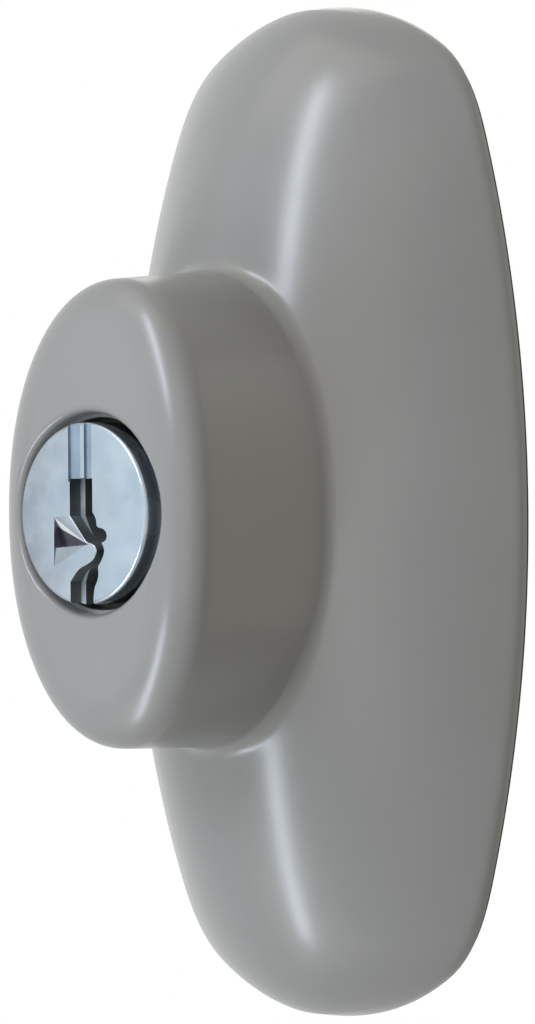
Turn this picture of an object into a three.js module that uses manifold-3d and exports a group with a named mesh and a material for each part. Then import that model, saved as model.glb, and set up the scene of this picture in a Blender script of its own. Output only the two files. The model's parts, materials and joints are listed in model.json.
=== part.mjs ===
// Keyed patio door lock, outside half: a domed die-cast escutcheon whose oval boss holds a
// five-pin tumbler cylinder. It is bolted on from inside the door through the two rear posts.
// Millimetres. +X is to the right as seen from outside, +Y goes into the door, +Z is up.
// The origin is on the plug's axis, in the plane of the door's face.
import * as THREE from 'three';
import { mergeVertices } from 'three/addons/utils/BufferGeometryUtils.js';
import Module from 'manifold-3d';

const wasm = await Module();
wasm.setup();

// Clearances that many pieces share
const seatGap = 0.3;
const screwGap = 0.25;
const overrun = 1;

// Escutcheon outline: two long side arcs, two end arcs and a soft corner between them
const escutcheonHeight = 76;
const escutcheonWidth = 38.6;
const sideArcRadius = 102;
const endArcExcess = 0.6;
const outlineCorner = 2;

// Escutcheon depth: a short straight rim on the gasket, then the dome
const gasketThickness = 0.6;
const rimHeight = 0.8;
const domeDepth = 15.8;
const domeLengthPower = 1.8;
const domeSectionPower = 2.1;
const castingWall = 1.75;

// Boss: a squarish oval tube with draft, a slightly crowned front and a flat land round the plug
const bossFrontWall = 2;
const bossSideWall = 2.35;
const bossSideDraft = THREE.MathUtils.degToRad(1);
const bossEndDraft = THREE.MathUtils.degToRad(5.5);
const bossCavityDraft = THREE.MathUtils.degToRad(2);
const bossOvalPower = 2.2;
const bossCrownDrop = 1;
const bossEdgeRadius = 2.8;
const landWidth = 1.05;
const landDrop = 0.25;

// Gasket
const gasketInset = 0.4;
const gasketWidth = 1.9;

// Key plug
const plugHeadRadius = 6.5;
const plugFaceGap = 0.35;
const plugProud = 1.1;
const plugFaceBevel = 0.25;
const plugShoulder = 0.5;
const plugRunningGap = 0.3;
const plugRearLand = 1.3;

// Keyway: its mouth on the face, the narrower channel behind it, and the marks beside it
const keywayTop = 2.5;
const keywayRight = 1;
const keywayLeft = 0.85;
const keywayMouthStep = 0.5;
const keywayMouthDepth = 1.1;
const keywayShoulderHeight = 0.1;
const wardSlope = 1.1;
const faceGrooveDepth = 0.3;
const notchLength = 3.9;
const notchReach = 3;
const notchHalfHeight = 1.5;
const notchDepth = 0.8;
const notchDrop = 2.3;

// The keyway's corners in X and Z, as shares of the plug's head radius: the ward's rounded nose from
// its top down, then the bend round it from below up
const wardNoseShares = [
  [-0.02, -0.225], [0.055, -0.31], [0.14, -0.325], [0.2, -0.36], [0.22, -0.41],
  [0.19, -0.47], [0.13, -0.52], [0.045, -0.56], [-0.075, -0.6],
];
const keywayBendShares = [
  [0.16, -0.83], [0.23, -0.72], [0.245, -0.645], [0.23, -0.575], [0.29, -0.51],
  [0.34, -0.42], [0.325, -0.355], [0.285, -0.31], [0.365, -0.29], [0.385, -0.23],
  [0.34, -0.17], [0.215, -0.155], [0.215, -0.06],
];

// Cylinder shell and its five pin chambers
const pinCount = 5;
const pinRadius = 1.25;
const pinGap = 0.25;
const chamberWall = 0.45;
const shellWall = 1.4;
const shellFrontMargin = 1.3;
const shellRearMargin = 1.1;
const bibleWall = 1.7;
const bibleCorner = 0.5;
const capThickness = 0.7;
const capLip = 0.6;
const cylinderRearDepth = 4.5;

// Key pins, driver pins and springs
const chamberFloorDrop = 0.25;
const keyPinTipHeight = 0.8;
const keyPinTipRadius = 0.45;
const keyPinWardGap = 0.1;
const deepestCutLift = 2.7;
const cutLiftShares = [0.55, 0.9, 0.4, 0.75, 0.35];
const driverPinLength = 2.6;
const driverPinBevel = 0.25;
const springSpace = 4.1;
const springWire = 0.2;
const springCurls = 5;
const springSideGap = 0.15;

// Clip behind the cylinder shell
const clipThickness = 0.8;
const clipGap = 0.2;
const clipGrooveDepth = 0.9;
const clipProud = 0.9;
const clipMouth = THREE.MathUtils.degToRad(80);

// Tailpiece, its retainer and the two screws
const tailWidth = 6;
const tailThickness = 1.6;
const tailLength = 19;
const tailTipChamfer = 1.2;
const tailFootHalfWidth = 1.5;
const tailFootHalfHeight = 4.5;
const tailFootThickness = 1;
const retainerThickness = 1;
const retainerInset = 0.4;
const tailScrewOffset = 3.45;
const tailScrewRadius = 0.8;
const tailScrewLength = 3.6;
const tailScrewHeadRadius = 1.5;
const tailScrewHeadHeight = 0.9;

// Clamp plate that keeps the cylinder in the boss, its pillars and screws
const clampThickness = 1.5;
const clampRingWidth = 2;
const clampArmHalfWidth = 3.2;
const pillarRadius = 2.4;
const pillarGap = 2.4;
const clampScrewRadius = 1.2;
const clampScrewLength = 6.5;
const clampScrewHeadRadius = 2.2;
const clampScrewHeadHeight = 1.4;

// Shares of a screw's own radius and head
const screwTipShare = 0.5;
const headCrownShare = 0.75;
const headSideShare = 0.5;
const recessArmShare = 0.5;
const recessWidthShare = 0.25;
const recessFloorShare = 0.35;

// Mounting posts
const postRadius = 3.5;
const postReach = 5;
const postHoleRadius = 2.1;
const postHoleDepth = 10;
const postMouthChamfer = 0.4;

// Numbers of facets
const domeRows = 32;
const domeColumns = 18;
const hollowRows = 22;
const hollowColumns = 12;
const bossFacets = 56;
const bossEdgeSteps = 5;
const bossFaceRings = 3;
const boreFacets = 48;
const clipFacets = 20;
const pinFacets = 14;
const screwFacets = 18;
const springSteps = 8;
const springSides = 5;

// Sizes that follow
const rimDepth = gasketThickness + rimHeight;
const endArcRadius = escutcheonWidth / 2 + endArcExcess;
const plugBodyRadius = plugHeadRadius - plugShoulder;
const shellBore = plugBodyRadius + plugRunningGap;
const shellRadius = shellBore + shellWall;
const chamberRadius = pinRadius + pinGap;
const pinPitch = 2 * chamberRadius + chamberWall;
const bibleHalfWidth = chamberRadius + bibleWall;
const cylinderLength = shellFrontMargin + 2 * chamberRadius + (pinCount - 1) * pinPitch + shellRearMargin;
const cylinderRear = -cylinderRearDepth;
const cylinderFront = cylinderRear - cylinderLength;
const bossFront = cylinderFront - bossFrontWall;
const capSeat = shellBore + driverPinLength + springSpace;
const bibleTop = capSeat + capThickness;

const cavityHalfWidth = shellRadius + seatGap;
const cornerShare = (bibleHalfWidth + seatGap - bibleCorner) / cavityHalfWidth;
const cavityHalfHeight = (bibleTop + seatGap) / Math.sqrt(1 - cornerShare ** 2);
const bossHalfWidth = cavityHalfWidth + bossSideWall;
const bossHalfHeight = cavityHalfHeight + castingWall;
const boreRadius = plugHeadRadius + plugFaceGap;
const landRadius = boreRadius + landWidth;
const landFace = bossFront + landDrop;

const plugFace = landFace - plugProud;
const plugHeadBack = cylinderFront - seatGap;
const clipFront = cylinderRear + clipGap;
const grooveRear = clipFront + clipThickness + clipGap;
const grooveRadius = plugBodyRadius - clipGrooveDepth;
const clipInnerRadius = grooveRadius + seatGap;
const clipOuterRadius = plugBodyRadius + clipProud;
const plugRear = grooveRear + plugRearLand;

const clampHoleRadius = clipOuterRadius + seatGap;
const clampRadius = clampHoleRadius + clampRingWidth;
const pillarHeight = bibleTop + pillarGap + pillarRadius;
const clampEnd = pillarHeight + clampArmHalfWidth;
const hollowEnd = escutcheonHeight / 2 - gasketInset - gasketWidth;
const postHeight = (clampEnd + hollowEnd) / 2;

// A closed geometry as a solid that can be cut and joined
function solid(geometry) {
  const bare = new THREE.BufferGeometry();
  bare.setAttribute('position', geometry.getAttribute('position'));
  bare.setIndex(geometry.getIndex());
  const merged = mergeVertices(bare);
  const corners = merged.getIndex().array;
  const kept = [];
  for (let i = 0; i < corners.length; i += 3) {
    const [a, b, c] = corners.slice(i, i + 3);
    if (a !== b && b !== c && c !== a) kept.push(a, b, c);
  }
  return new wasm.Manifold(new wasm.Mesh({
    numProp: 3,
    vertProperties: merged.getAttribute('position').array,
    triVerts: Uint32Array.from(kept),
  }));
}

// A solid's surface as a geometry
function surface(piece) {
  const mesh = piece.getMesh();
  const geometry = new THREE.BufferGeometry();
  geometry.setAttribute('position', new THREE.BufferAttribute(mesh.vertProperties, mesh.numProp));
  geometry.setIndex(new THREE.BufferAttribute(mesh.triVerts, 1));
  geometry.computeVertexNormals();
  return geometry;
}

// A skin over rings of points, each ring counterclockwise about the way the rings advance
function loft(rings) {
  const around = rings[0].length;
  const last = (rings.length - 1) * around;
  const corners = [];
  for (let start = 0; start < last; start += around) {
    for (let k = 0; k < around; k++) {
      const a = start + k;
      const b = start + ((k + 1) % around);
      corners.push(a, b, b + around, a, b + around, a + around);
    }
  }
  for (let k = 1; k < around - 1; k++) {
    corners.push(0, k + 1, k);
    corners.push(last, last + k, last + k + 1);
  }
  const geometry = new THREE.BufferGeometry().setFromPoints(rings.flat());
  geometry.setIndex(corners);
  return geometry;
}

// A turned piece about +Y: the profile's points are [radius, y], from the lowest y to the highest
function turned(profile, facets) {
  const points = profile.map(([radius, y]) => new THREE.Vector2(radius, y));
  return new THREE.LatheGeometry(points, facets);
}

// A round bar along Y
function rod(radius, yFrom, yTo, facets) {
  const bar = new THREE.CylinderGeometry(radius, radius, yTo - yFrom, facets);
  return bar.translate(0, (yFrom + yTo) / 2, 0);
}

// A round bar along Z
function upright(radius, zFrom, zTo, facets) {
  return rod(radius, zFrom, zTo, facets).rotateX(Math.PI / 2);
}

// An outline in X and Z, pulled along Y
function prism(shape, yFrom, yTo, facets) {
  const pulled = new THREE.ExtrudeGeometry(shape, {
    depth: yTo - yFrom,
    bevelEnabled: false,
    curveSegments: facets,
  });
  return pulled.rotateX(Math.PI / 2).translate(0, yTo, 0);
}

function box(xFrom, xTo, yFrom, yTo, zFrom, zTo) {
  const block = new THREE.BoxGeometry(xTo - xFrom, yTo - yFrom, zTo - zFrom);
  return block.translate((xFrom + xTo) / 2, (yFrom + yTo) / 2, (zFrom + zTo) / 2);
}

// Half the escutcheon's width at height z, on an outline drawn in by the inset
function outlineHalfWidth(z, inset) {
  const sideRadius = sideArcRadius - inset;
  const side = escutcheonWidth / 2 - inset - (sideRadius - Math.sqrt(sideRadius ** 2 - z ** 2));
  const endRadius = endArcRadius - inset;
  const past = Math.abs(z) - (escutcheonHeight / 2 - endArcRadius);
  const end = past < 0 ? endRadius - past : Math.sqrt(Math.max(endRadius ** 2 - past ** 2, 0));
  const share = THREE.MathUtils.clamp((1 + (end - side) / outlineCorner) / 2, 0, 1);
  return THREE.MathUtils.lerp(end, side, share) - outlineCorner * share * (1 - share);
}

// Depth of the dome from the door's face, at a share of the half width and a height z
function domeDepthAt(widthShare, z, inset) {
  const lengthShare = Math.abs(z) / (escutcheonHeight / 2 - inset);
  const crest = Math.sqrt(Math.max(1 - lengthShare ** domeLengthPower, 0));
  const section = 1 - Math.abs(widthShare) ** domeSectionPower;
  return rimDepth + (domeDepth - rimDepth - inset) * crest * section;
}

// The dome as a solid, drawn in by the inset and closed by a flat back
function domeForm(inset, back, rows, columns) {
  const halfHeight = escutcheonHeight / 2 - inset;
  const rings = [];
  for (let row = 0; row <= rows; row++) {
    const z = halfHeight * Math.sin(Math.PI * (row / rows - 1 / 2));
    const halfWidth = row % rows ? outlineHalfWidth(z, inset) : 0;
    const ring = [];
    for (let column = 0; column <= columns; column++) {
      const widthShare = Math.sin(Math.PI * (column / columns - 1 / 2));
      ring.push(new THREE.Vector3(halfWidth * widthShare, -domeDepthAt(widthShare, z, inset), z));
    }
    ring.push(new THREE.Vector3(halfWidth, back, z));
    ring.push(new THREE.Vector3(-halfWidth, back, z));
    rings.push(ring);
  }
  return solid(loft(rings));
}

// One oval ring of the boss, whose front follows the crown
function ovalRing(halfWidth, halfHeight, y) {
  const crown = bossCrownDrop / bossHalfHeight ** 2;
  const squared = (share) => Math.sign(share) * Math.abs(share) ** (2 / bossOvalPower);
  const ring = [];
  for (let k = 0; k < bossFacets; k++) {
    const angle = 2 * Math.PI * k / bossFacets;
    const z = halfHeight * squared(Math.sin(angle));
    ring.push(new THREE.Vector3(halfWidth * squared(Math.cos(angle)), y + crown * z ** 2, z));
  }
  return ring;
}

function bossForm() {
  const root = -rimDepth - domeDepth / 2;
  const edge = bossFront + bossEdgeRadius;
  const wider = Math.tan(bossSideDraft) * (root - edge);
  const taller = Math.tan(bossEndDraft) * (root - edge);
  const rings = [
    ovalRing(bossHalfWidth + wider, bossHalfHeight + taller, root),
    ovalRing(bossHalfWidth, bossHalfHeight, edge),
  ];
  for (let step = 1; step <= bossEdgeSteps; step++) {
    const angle = Math.PI / 2 * step / bossEdgeSteps;
    const drawnIn = bossEdgeRadius * (1 - Math.cos(angle));
    const y = edge - bossEdgeRadius * Math.sin(angle);
    rings.push(ovalRing(bossHalfWidth - drawnIn, bossHalfHeight - drawnIn, y));
  }
  for (let step = 1; step <= bossFaceRings; step++) {
    const share = 1 - step / bossFaceRings;
    const faceHalfWidth = bossHalfWidth - bossEdgeRadius;
    const faceHalfHeight = bossHalfHeight - bossEdgeRadius;
    rings.push(ovalRing(faceHalfWidth * share, faceHalfHeight * share, bossFront));
  }
  return solid(loft(rings));
}

// The boss's inside, from the cylinder's front face back to the clamp plate
function bossCavity() {
  const widening = Math.tan(bossCavityDraft) * cylinderLength;
  const ring = (grown, y) => {
    const points = [];
    for (let k = 0; k < bossFacets; k++) {
      const angle = 2 * Math.PI * k / bossFacets;
      const x = (cavityHalfWidth + grown) * Math.cos(angle);
      points.push(new THREE.Vector3(x, y, (cavityHalfHeight + grown) * Math.sin(angle)));
    }
    return points;
  };
  return solid(loft([ring(widening, cylinderRear), ring(0, cylinderFront)]));
}

// A round column inside the casting: it never breaks out through the dome
function column(radius, z, rear, dome) {
  const bar = solid(rod(radius, -domeDepth, rear, screwFacets).translate(0, 0, z));
  const inside = bar.intersect(dome);
  if (rear <= -gasketThickness) return inside;
  return inside.add(solid(rod(radius, -rimDepth, rear, screwFacets).translate(0, 0, z)));
}

function escutcheon() {
  const dome = domeForm(0, -gasketThickness, domeRows, domeColumns);
  let casting = dome.add(bossForm());
  casting = casting.subtract(domeForm(castingWall, overrun, hollowRows, hollowColumns));
  casting = casting.subtract(bossCavity());
  for (const side of [-1, 1]) {
    casting = casting.add(column(pillarRadius, side * pillarHeight, cylinderRear, dome));
    casting = casting.add(column(postRadius, side * postHeight, postReach, dome));
  }
  const ahead = bossFront - overrun;
  casting = casting.subtract(solid(rod(boreRadius, ahead, cylinderFront + overrun, boreFacets)));
  casting = casting.subtract(solid(rod(landRadius, ahead, landFace, boreFacets)));
  const screwHoleFront = cylinderRear + clampThickness - clampScrewLength - seatGap;
  const screwHoleRadius = clampScrewRadius + screwGap;
  const postHole = turned([
    [0, postReach - postHoleDepth],
    [postHoleRadius, postReach - postHoleDepth],
    [postHoleRadius, postReach - postMouthChamfer],
    [postHoleRadius + postMouthChamfer + overrun, postReach + overrun],
    [0, postReach + overrun],
  ], screwFacets);
  for (const side of [-1, 1]) {
    const screwHole = rod(screwHoleRadius, screwHoleFront, cylinderRear + overrun, screwFacets);
    casting = casting.subtract(solid(screwHole.translate(0, 0, side * pillarHeight)));
    casting = casting.subtract(solid(postHole.clone().translate(0, 0, side * postHeight)));
  }
  return surface(casting);
}

// The escutcheon's outline as a closed path
function outlinePath(path, inset) {
  const halfHeight = escutcheonHeight / 2 - inset;
  const points = [];
  for (let row = 0; row < 2 * domeRows; row++) {
    const angle = Math.PI * row / domeRows;
    const z = -halfHeight * Math.cos(angle);
    points.push(new THREE.Vector2(Math.sign(Math.sin(angle)) * outlineHalfWidth(z, inset), z));
  }
  points[0].x = 0;
  points[domeRows].x = 0;
  return path.setFromPoints(points);
}

function gasket() {
  const ring = outlinePath(new THREE.Shape(), gasketInset);
  ring.holes.push(outlinePath(new THREE.Path(), gasketInset + gasketWidth));
  return prism(ring, -gasketThickness, 0, 1);
}

// Places of the pin chambers along Y, the first behind the face
function chamberPlaces() {
  const first = cylinderFront + shellFrontMargin + chamberRadius;
  return Array.from({ length: pinCount }, (_, k) => first + k * pinPitch);
}

function cylinderShell() {
  const meet = Math.asin(bibleHalfWidth / shellRadius);
  const section = new THREE.Shape();
  section.moveTo(bibleHalfWidth, bibleTop - bibleCorner);
  section.lineTo(bibleHalfWidth - bibleCorner, bibleTop);
  section.lineTo(bibleCorner - bibleHalfWidth, bibleTop);
  section.lineTo(-bibleHalfWidth, bibleTop - bibleCorner);
  section.absarc(0, 0, shellRadius, Math.PI / 2 + meet, Math.PI * 5 / 2 - meet, false);
  let shell = solid(prism(section, cylinderFront, cylinderRear, boreFacets));
  shell = shell.subtract(solid(rod(shellBore, cylinderFront - overrun, cylinderRear + overrun, boreFacets)));
  for (const y of chamberPlaces()) {
    shell = shell.subtract(solid(upright(chamberRadius, 0, capSeat + overrun, pinFacets).translate(0, y, 0)));
  }
  const rebate = bibleHalfWidth - capLip;
  shell = shell.subtract(solid(box(-rebate, rebate, cylinderFront - overrun, cylinderRear + overrun,
    capSeat, bibleTop + overrun)));
  return surface(shell);
}

function chamberCap() {
  const halfWidth = bibleHalfWidth - capLip - seatGap;
  return box(-halfWidth, halfWidth, -cylinderLength / 2, cylinderLength / 2, 0, capThickness);
}

// The keyway's section: a round-nosed ward on the left and the bend that passes it on the right
function keywaySection(leftEdge, bottom) {
  const corner = ([x, z]) => new THREE.Vector2(x * plugHeadRadius, z * plugHeadRadius);
  const nose = wardNoseShares.map(corner);
  const bend = keywayBendShares.map(corner);
  const [top, heel] = [nose[0], nose[nose.length - 1]];
  return new THREE.Shape([
    new THREE.Vector2(leftEdge, keywayTop),
    new THREE.Vector2(leftEdge, top.y + wardSlope * (top.x - leftEdge)),
    ...nose,
    new THREE.Vector2(leftEdge, heel.y - wardSlope * (heel.x - leftEdge)),
    new THREE.Vector2(leftEdge, bottom),
    new THREE.Vector2(bend[0].x, bottom),
    ...bend,
    new THREE.Vector2(keywayRight, keywayShoulderHeight),
    new THREE.Vector2(keywayRight, keywayTop),
  ]);
}

// The three-cornered pick-up notch left of the keyway, wide at its left end
function faceNotch() {
  const ring = (x, deep) => {
    const front = plugFace - overrun;
    const half = notchHalfHeight * (deep + overrun) / notchDepth;
    return [
      new THREE.Vector3(x, front, half - notchDrop),
      new THREE.Vector3(x, front, -half - notchDrop),
      new THREE.Vector3(x, plugFace + deep, -notchDrop),
    ];
  };
  return solid(loft([ring(-notchReach, notchDepth), ring(notchLength - notchReach, 0)]));
}

function keyPlug() {
  let plug = solid(turned([
    [0, plugFace],
    [plugHeadRadius - plugFaceBevel, plugFace],
    [plugHeadRadius, plugFace + plugFaceBevel],
    [plugHeadRadius, plugHeadBack],
    [plugBodyRadius, plugHeadBack],
    [plugBodyRadius, cylinderRear],
    [grooveRadius, cylinderRear],
    [grooveRadius, grooveRear],
    [plugBodyRadius, grooveRear],
    [plugBodyRadius, plugRear],
    [0, plugRear],
  ], boreFacets));
  const below = -plugHeadRadius - overrun;
  const mouthLeft = -keywayLeft - keywayMouthStep;
  const mouthBack = plugFace + keywayMouthDepth;
  const channel = keywaySection(-keywayLeft, below);
  plug = plug.subtract(solid(prism(channel, plugFace - overrun, cylinderRear, 1)));
  plug = plug.subtract(solid(prism(keywaySection(mouthLeft, below), plugFace - overrun, mouthBack, 1)));
  plug = plug.subtract(solid(box(mouthLeft, keywayRight, plugFace - overrun, plugFace + faceGrooveDepth,
    keywayTop, plugHeadRadius + overrun)));
  plug = plug.subtract(faceNotch());
  for (const y of chamberPlaces()) {
    const chamber = upright(chamberRadius, -chamberFloorDrop, plugHeadRadius + overrun, pinFacets);
    plug = plug.subtract(solid(chamber.translate(0, y, 0)));
  }
  const slotHalfWidth = tailFootHalfWidth + seatGap;
  const slotHalfHeight = tailFootHalfHeight + seatGap;
  plug = plug.subtract(solid(box(-slotHalfWidth, slotHalfWidth, plugRear - tailFootThickness - seatGap,
    plugRear + overrun, -slotHalfHeight, slotHalfHeight)));
  const holeFront = plugRear + retainerThickness - tailScrewLength - seatGap;
  for (const side of [-1, 1]) {
    const hole = rod(tailScrewRadius + screwGap, holeFront, plugRear + overrun, screwFacets);
    plug = plug.subtract(solid(hole.translate(side * tailScrewOffset, 0, 0)));
  }
  return surface(plug);
}

// A spring clip, open at the bottom, with its front face at zero
function plugClip() {
  const start = -Math.PI / 2 + clipMouth / 2;
  const end = Math.PI * 3 / 2 - clipMouth / 2;
  const clip = new THREE.Shape();
  clip.absarc(0, 0, clipOuterRadius, start, end, false);
  clip.absarc(0, 0, clipInnerRadius, end, start, true);
  return prism(clip, 0, clipThickness, clipFacets);
}

// The tailpiece: a foot that sits in the plug's rear slot, with its rear face at zero, and the blade
function tailpiece() {
  const halfWidth = tailWidth / 2;
  const side = new THREE.Shape([
    new THREE.Vector2(-tailFootThickness, -halfWidth),
    new THREE.Vector2(tailLength - tailTipChamfer, -halfWidth),
    new THREE.Vector2(tailLength, tailTipChamfer - halfWidth),
    new THREE.Vector2(tailLength, halfWidth - tailTipChamfer),
    new THREE.Vector2(tailLength - tailTipChamfer, halfWidth),
    new THREE.Vector2(-tailFootThickness, halfWidth),
  ]);
  const blade = new THREE.ExtrudeGeometry(side, { depth: tailThickness, bevelEnabled: false });
  blade.applyMatrix4(new THREE.Matrix4().makeBasis(
    new THREE.Vector3(0, 1, 0), new THREE.Vector3(0, 0, 1), new THREE.Vector3(1, 0, 0)));
  blade.translate(-tailThickness / 2, 0, 0);
  const foot = box(-tailFootHalfWidth, tailFootHalfWidth, -tailFootThickness, 0,
    -tailFootHalfHeight, tailFootHalfHeight);
  return surface(solid(blade).add(solid(foot)));
}

// The disc over the tailpiece's foot, with its front face at zero
function tailRetainer() {
  let disc = solid(rod(plugBodyRadius - retainerInset, 0, retainerThickness, boreFacets));
  const slotHalfWidth = tailThickness / 2 + seatGap;
  const slotHalfHeight = tailWidth / 2 + seatGap;
  disc = disc.subtract(solid(box(-slotHalfWidth, slotHalfWidth, -overrun, retainerThickness + overrun,
    -slotHalfHeight, slotHalfHeight)));
  for (const side of [-1, 1]) {
    const hole = rod(tailScrewRadius + screwGap, -overrun, retainerThickness + overrun, screwFacets);
    disc = disc.subtract(solid(hole.translate(side * tailScrewOffset, 0, 0)));
  }
  return surface(disc);
}

// A pan-head screw with a cross recess: it points along -Y, and its head seats at zero
function screw(radius, length, headRadius, headHeight) {
  const tipChamfer = radius * screwTipShare;
  const body = turned([
    [0, -length],
    [radius - tipChamfer, -length],
    [radius, tipChamfer - length],
    [radius, 0],
    [headRadius, 0],
    [headRadius, headHeight * headSideShare],
    [headRadius * headCrownShare, headHeight],
    [0, headHeight],
  ], screwFacets);
  const arm = headRadius * recessArmShare;
  const halfSlot = headRadius * recessWidthShare / 2;
  const floor = headHeight * recessFloorShare;
  const top = headHeight + overrun;
  const cross = solid(box(-arm, arm, floor, top, -halfSlot, halfSlot))
    .add(solid(box(-halfSlot, halfSlot, floor, top, -arm, arm)));
  return surface(solid(body).subtract(cross));
}

// The plate that keeps the cylinder in the boss, with its front face at zero
function clampPlate() {
  let plate = solid(rod(clampRadius, 0, clampThickness, boreFacets));
  plate = plate.add(solid(box(-clampArmHalfWidth, clampArmHalfWidth, 0, clampThickness,
    -pillarHeight, pillarHeight)));
  for (const side of [-1, 1]) {
    const end = rod(clampArmHalfWidth, 0, clampThickness, boreFacets);
    plate = plate.add(solid(end.translate(0, 0, side * pillarHeight)));
  }
  plate = plate.subtract(solid(rod(clampHoleRadius, -overrun, clampThickness + overrun, boreFacets)));
  for (const side of [-1, 1]) {
    const hole = rod(clampScrewRadius + screwGap, -overrun, clampThickness + overrun, screwFacets);
    plate = plate.subtract(solid(hole.translate(0, 0, side * pillarHeight)));
  }
  return surface(plate);
}

// Key pins: the cone rests on the chamber's floor beside the keyway, the tip hangs in the keyway
const tipInKeyway = keywayLeft - keyPinWardGap - keyPinTipRadius;
const keyPinTip = -chamberFloorDrop - tipInKeyway * keyPinTipHeight / (pinRadius - keyPinTipRadius);
const shearTop = Math.sqrt(plugBodyRadius ** 2 - pinRadius ** 2);

function keyPin(length) {
  return turned([
    [0, 0],
    [keyPinTipRadius, 0],
    [pinRadius, keyPinTipHeight],
    [pinRadius, length],
    [0, length],
  ], pinFacets).rotateX(Math.PI / 2);
}

function driverPin() {
  return turned([
    [0, 0],
    [pinRadius, 0],
    [pinRadius, driverPinLength - driverPinBevel],
    [pinRadius - driverPinBevel, driverPinLength],
    [0, driverPinLength],
  ], pinFacets).rotateX(Math.PI / 2);
}

// The spring over a driver pin: one unbroken wire, standing on zero
const springLength = springSpace - 2 * seatGap;
const springRadius = pinRadius - springSideGap - springWire / 2;
const springPitch = (springLength - springWire) / springCurls;

function springPath(turn) {
  const angle = 2 * Math.PI * turn;
  const z = springWire / 2 + springPitch * turn;
  return new THREE.Vector3(springRadius * Math.cos(angle), springRadius * Math.sin(angle), z);
}

function driverSpring() {
  const rings = [];
  for (let step = 0; step <= springCurls * springSteps; step++) {
    const turn = step / springSteps;
    const angle = 2 * Math.PI * turn;
    const centre = springPath(turn);
    const outward = new THREE.Vector3(Math.cos(angle), Math.sin(angle), 0);
    const along = new THREE.Vector3(-Math.sin(angle), Math.cos(angle), 0);
    along.setZ(springPitch / (2 * Math.PI * springRadius)).normalize();
    const across = along.clone().cross(outward);
    const ring = [];
    for (let k = 0; k < springSides; k++) {
      const round = 2 * Math.PI * k / springSides;
      const point = centre.clone().addScaledVector(outward, springWire / 2 * Math.cos(round));
      ring.push(point.addScaledVector(across, springWire / 2 * Math.sin(round)));
    }
    rings.push(ring);
  }
  return loft(rings);
}

// The least gap between the spring's curls, measured on its path's points
function springLeastGap() {
  let least = Infinity;
  const points = Array.from({ length: springCurls * springSteps + 1 }, (_, k) => springPath(k / springSteps));
  for (let a = 0; a < points.length; a++) {
    for (let b = a + springSteps / 2; b < points.length; b++) {
      least = Math.min(least, points[a].distanceTo(points[b]) - springWire);
    }
  }
  return least;
}

// A finish, drawn with flat facets
function finishOf(color, roughness, metalness) {
  return new THREE.MeshStandardMaterial({ color, roughness, metalness, flatShading: true });
}

const finish = {
  paint: finishOf(0x8e8d88, 0.42, 0),
  nickel: finishOf(0xc3ccd3, 0.22, 1),
  brass: finishOf(0xb89a55, 0.35, 1),
  zinc: finishOf(0xb4b8bb, 0.38, 1),
  steel: finishOf(0x9a9ea2, 0.3, 1),
  rubber: finishOf(0x1e1f20, 0.9, 0),
};

// A named piece of the lock, set in its place
function place(group, name, geometry, material, x = 0, y = 0, z = 0) {
  const mesh = new THREE.Mesh(geometry, material);
  mesh.name = name;
  mesh.position.set(x, y, z);
  group.add(mesh);
}

const lock = new THREE.Group();
place(lock, 'escutcheon', escutcheon(), finish.paint);
place(lock, 'gasket', gasket(), finish.rubber);
place(lock, 'cylinder_shell', cylinderShell(), finish.brass);
place(lock, 'chamber_cap', chamberCap(), finish.brass, 0, (cylinderFront + cylinderRear) / 2, capSeat);

const plugGroup = new THREE.Group();
lock.add(plugGroup);
place(plugGroup, 'key_plug', keyPlug(), finish.nickel);
place(plugGroup, 'plug_clip', plugClip(), finish.steel, 0, clipFront);
place(plugGroup, 'tailpiece', tailpiece(), finish.zinc, 0, plugRear);
place(plugGroup, 'tail_retainer', tailRetainer(), finish.zinc, 0, plugRear);
const tailScrew = screw(tailScrewRadius, tailScrewLength, tailScrewHeadRadius, tailScrewHeadHeight);
place(plugGroup, 'tail_screw_left', tailScrew, finish.steel, -tailScrewOffset, plugRear + retainerThickness);
place(plugGroup, 'tail_screw_right', tailScrew, finish.steel, tailScrewOffset, plugRear + retainerThickness);

chamberPlaces().forEach((y, k) => {
  const stack = new THREE.Group();
  stack.position.y = y;
  lock.add(stack);
  const keyPinLength = shearTop - deepestCutLift * cutLiftShares[k] - keyPinTip;
  place(stack, `key_pin_${k + 1}`, keyPin(keyPinLength), finish.brass, 0, 0, keyPinTip);
  place(stack, `driver_pin_${k + 1}`, driverPin(), finish.brass, 0, 0, shellBore);
  const springSeat = shellBore + driverPinLength + seatGap;
  place(stack, `driver_spring_${k + 1}`, driverSpring(), finish.steel, 0, 0, springSeat);
});

place(lock, 'clamp_plate', clampPlate(), finish.zinc, 0, cylinderRear);
const clampScrew = screw(clampScrewRadius, clampScrewLength, clampScrewHeadRadius, clampScrewHeadHeight);
place(lock, 'clamp_screw_upper', clampScrew, finish.steel, 0, cylinderRear + clampThickness, pillarHeight);
place(lock, 'clamp_screw_lower', clampScrew, finish.steel, 0, cylinderRear + clampThickness, -pillarHeight);

console.log(`least gap in a driver spring: ${springLeastGap().toFixed(2)} mm`);

export default lock;
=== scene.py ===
# Keyed patio door lock, outside half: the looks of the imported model.
# Pieces are shaped in millimetres and placed in metres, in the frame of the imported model:
# +X is to the right as seen from outside, +Y goes into the door, +Z is up.
import json
import math

import bmesh
import bpy
from mathutils import Matrix, Vector

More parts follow.
